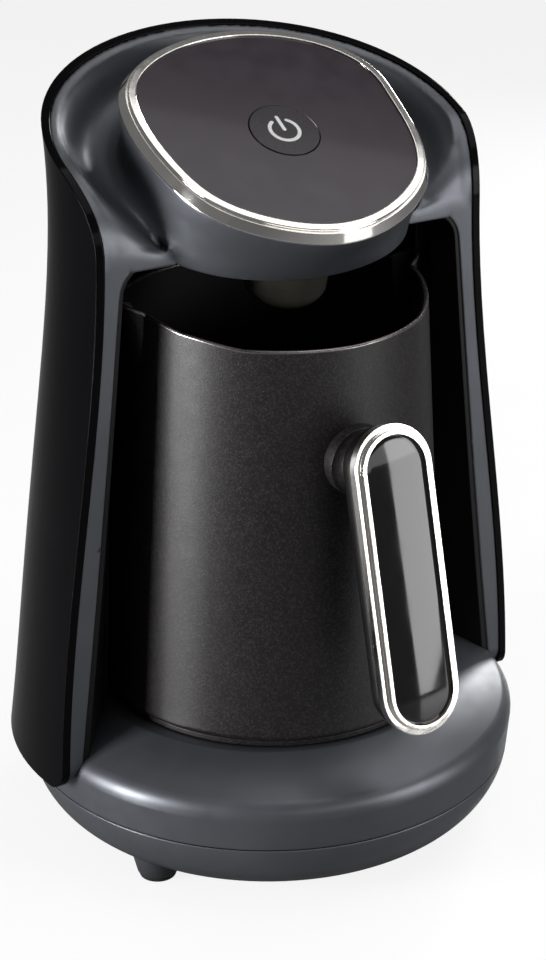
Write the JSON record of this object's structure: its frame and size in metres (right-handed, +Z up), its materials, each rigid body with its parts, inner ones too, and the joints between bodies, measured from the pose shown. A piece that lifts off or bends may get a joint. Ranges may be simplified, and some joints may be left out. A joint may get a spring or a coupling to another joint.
{
  "type": "electric turkish coffee maker",
  "caption": "Hooded electric Turkish coffee maker on a round heated base, with a tapered spouted pot that slides out by its bar handle and a power button on the tilted top panel.",
  "frame": {"origin": "middle of the whole machine's footprint on the table, at the feet", "axes": "+Z up, -Y to the front where the pot comes out, +X to the right seen from the back"},
  "size_m": [0.1684, 0.1772, 0.2479],
  "materials": {
    "aluminium": "cast aluminium plate",
    "black_gloss": "high-gloss black moulded plastic",
    "black_plastic": "fine matt black plastic",
    "board_green": "glass-fibre circuit board",
    "button_cap": "dark gloss button cap with a printed white power symbol",
    "cable_grey": "flat ribbon cable",
    "chrome_trim": "bright chrome-plated trim",
    "component_black": "moulded component body",
    "component_white": "white nylon connector",
    "dark_panel": "dark aubergine gloss panel",
    "grey_plastic": "satin slate-grey moulded plastic with a faint metallic flake",
    "led_clear": "clear light-emitting diode",
    "pot_coating": "dark metallic non-stick coating with fine sparkle",
    "rubber": "black rubber",
    "screw_steel": "zinc-plated steel",
    "silicone": "red silicone seal",
    "smoked_lens": "smoked translucent polycarbonate",
    "steel": "plain steel"
  },
  "bodies": {
    "machine": {"base_cover": "grey_plastic", "base_screws": "screw_steel", "bay_liner": "black_plastic", "buzzer": "component_black", "carrier_screws": "screw_steel", "chrome_ring": "chrome_trim", "control_board": "board_green", "control_board_screws": "screw_steel", "cord_gland": "rubber", "filter_capacitor": "component_black", "foot_pads": "rubber", "head_underside": "black_plastic", "heater_carrier": "steel", "heating_element": "steel", "hood": "grey_plastic", "hotplate": "aluminium", "hotplate_seal": "silicone", "level_sensor": "component_black", "lower_shell": "grey_plastic", "outer_shell": "black_gloss", "panel_frame": "black_plastic", "power_board": "board_green", "power_board_screws": "screw_steel", "relay": "component_black", "ribbon_cable": "cable_grey", "ribbon_plug": "component_white", "ribbon_socket": "component_white", "sensor_board": "board_green", "sensor_lens": "smoked_lens", "status_leds": "led_clear", "tact_switch": "component_black", "terminal_block": "component_white", "thermal_fuse": "component_white", "thermostat": "component_black", "top_panel": "dark_panel", "underside_screws": "screw_steel"},
    "button": {"power_button": "button_cap", "switch_plunger": "component_white"},
    "pot": {"pot_body": "pot_coating", "pot_base": "steel", "handle_stub": "pot_coating", "grip_core": "black_plastic", "grip_frame": "chrome_trim", "grip_insert": "black_gloss", "handle_screw": "screw_steel"}
  },
  "joints": [
    {"name": "button_press", "type": "slide", "parent": "machine", "child": "button", "axis": [0, 0.4787, -0.878], "range_m": [0, 0.001], "stiffness_N_per_m": 1500, "springref_m": -0.0006},
    {"name": "pot_slide", "type": "slide", "parent": "machine", "child": "pot", "axis": [0, -1, 0], "range_m": [0, 0.15]}
  ]
}
